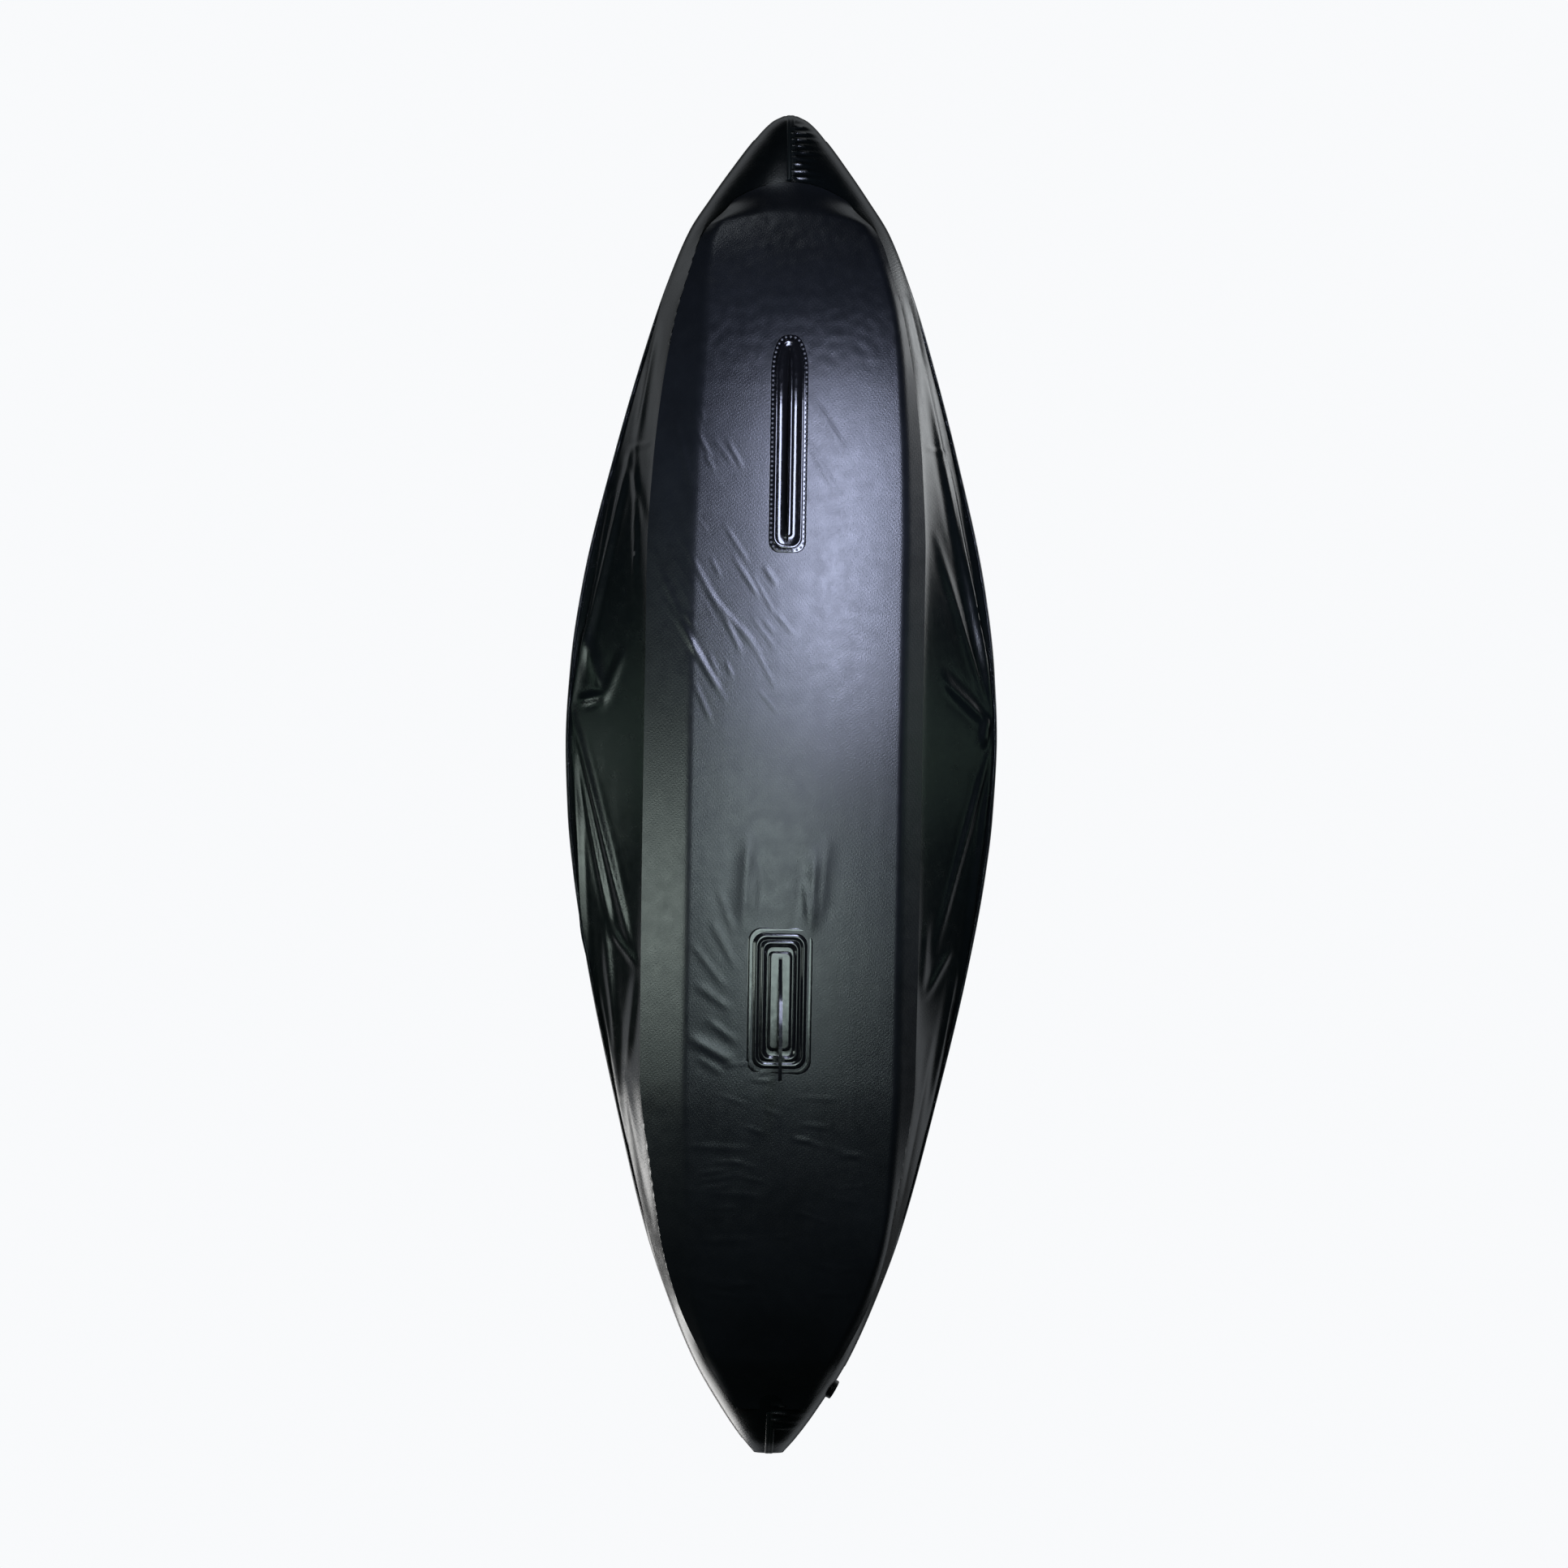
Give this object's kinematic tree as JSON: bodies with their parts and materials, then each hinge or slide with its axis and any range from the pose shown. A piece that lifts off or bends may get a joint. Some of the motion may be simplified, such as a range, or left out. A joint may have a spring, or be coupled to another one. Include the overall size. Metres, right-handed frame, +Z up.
{
  "type": "inflatable kayak",
  "caption": "One-person inflatable kayak in black coated fabric, with tracking fin, removable skeg, seat and two decks.",
  "frame": {"origin": "under the middle of the hull, level with the tip of the skeg", "axes": "+Y towards the bow, +X to starboard, +Z up"},
  "size_m": [0.963, 2.9998, 0.6187],
  "materials": {
    "hull_fabric": "black PVC-coated polyester, semi-gloss with a fine pebbled emboss",
    "deck_fabric": "dark slate PVC-coated polyester, satin",
    "seam_tape": "black welded PVC tape, semi-gloss",
    "moulded_fin": "black moulded PVC, glossy",
    "valve_plastic": "black moulded plastic, satin",
    "diaphragm_rubber": "black moulded rubber",
    "seat_fabric": "dark slate coated fabric, satin",
    "webbing": "black woven polyester webbing",
    "buckle_plastic": "black acetal, matt",
    "handle_plastic": "black moulded rubber grip, matt",
    "ring_steel": "stainless steel rod"
  },
  "bodies": {
    "hull": {"starboard_side_chamber": "hull_fabric", "port_side_chamber": "hull_fabric", "floor_chamber": "hull_fabric", "bow_deck": "deck_fabric", "stern_deck": "deck_fabric", "bow_coaming": "deck_fabric", "stern_coaming": "deck_fabric", "bow_seam_tape": "seam_tape", "stern_seam_tape": "seam_tape", "starboard_rub_strip": "seam_tape", "port_rub_strip": "seam_tape", "tracking_fin_patch": "seam_tape", "tracking_fin": "moulded_fin", "skeg_box": "moulded_fin", "seat_cushion": "seat_fabric", "bow_handle_base": "buckle_plastic", "stern_handle_base": "buckle_plastic", "port_valve_body": "valve_plastic", "port_valve_diaphragm": "diaphragm_rubber", "starboard_valve_body": "valve_plastic", "starboard_valve_diaphragm": "diaphragm_rubber", "floor_valve_body": "valve_plastic", "floor_valve_diaphragm": "diaphragm_rubber", "starboard_ring_patch": "seam_tape", "starboard_ring_tab": "webbing", "starboard_ring": "ring_steel", "starboard_seat_strap": "webbing", "starboard_strap_buckle": "buckle_plastic", "port_ring_patch": "seam_tape", "port_ring_tab": "webbing", "port_ring": "ring_steel", "port_seat_strap": "webbing", "port_strap_buckle": "buckle_plastic"},
    "skeg": {"skeg": "moulded_fin"},
    "seat_back": {"seat_back": "seat_fabric"},
    "port_valve_cap": {"port_valve_cap": "valve_plastic"},
    "starboard_valve_cap": {"starboard_valve_cap": "valve_plastic"},
    "floor_valve_cap": {"floor_valve_cap": "valve_plastic"},
    "bow_handle": {"bow_handle": "handle_plastic"},
    "stern_handle": {"stern_handle": "handle_plastic"}
  },
  "joints": [
    {"name": "skeg_slide", "type": "slide", "parent": "hull", "child": "skeg", "axis": [0, -1, 0], "range_m": [0, 0.18]},
    {"name": "seat_back_hinge", "type": "hinge", "parent": "hull", "child": "seat_back", "pos_m": [0, -0.426, 0.2959], "axis": [1, 0, 0], "range_deg": [-92, 12]},
    {"name": "port_valve_cap_hinge", "type": "hinge", "parent": "hull", "child": "port_valve_cap", "pos_m": [-0.13736, -1.35047, 0.38408], "axis": [-0.4907, 0.8713, 0], "range_deg": [0, 110]},
    {"name": "starboard_valve_cap_hinge", "type": "hinge", "parent": "hull", "child": "starboard_valve_cap", "pos_m": [0.24279, -0.518, 0.42593], "axis": [-0.9077, 0, -0.4197], "range_deg": [0, 110]},
    {"name": "floor_valve_cap_hinge", "type": "hinge", "parent": "hull", "child": "floor_valve_cap", "pos_m": [0, -0.593, 0.213], "axis": [1, 0, 0], "range_deg": [0, 110]},
    {"name": "bow_handle_hinge", "type": "hinge", "parent": "hull", "child": "bow_handle", "pos_m": [0, 1.285, 0.49152], "axis": [-1, 0, 0], "range_deg": [0, 110]},
    {"name": "stern_handle_hinge", "type": "hinge", "parent": "hull", "child": "stern_handle", "pos_m": [0, -1.262, 0.4753], "axis": [1, 0, 0], "range_deg": [0, 110]}
  ]
}
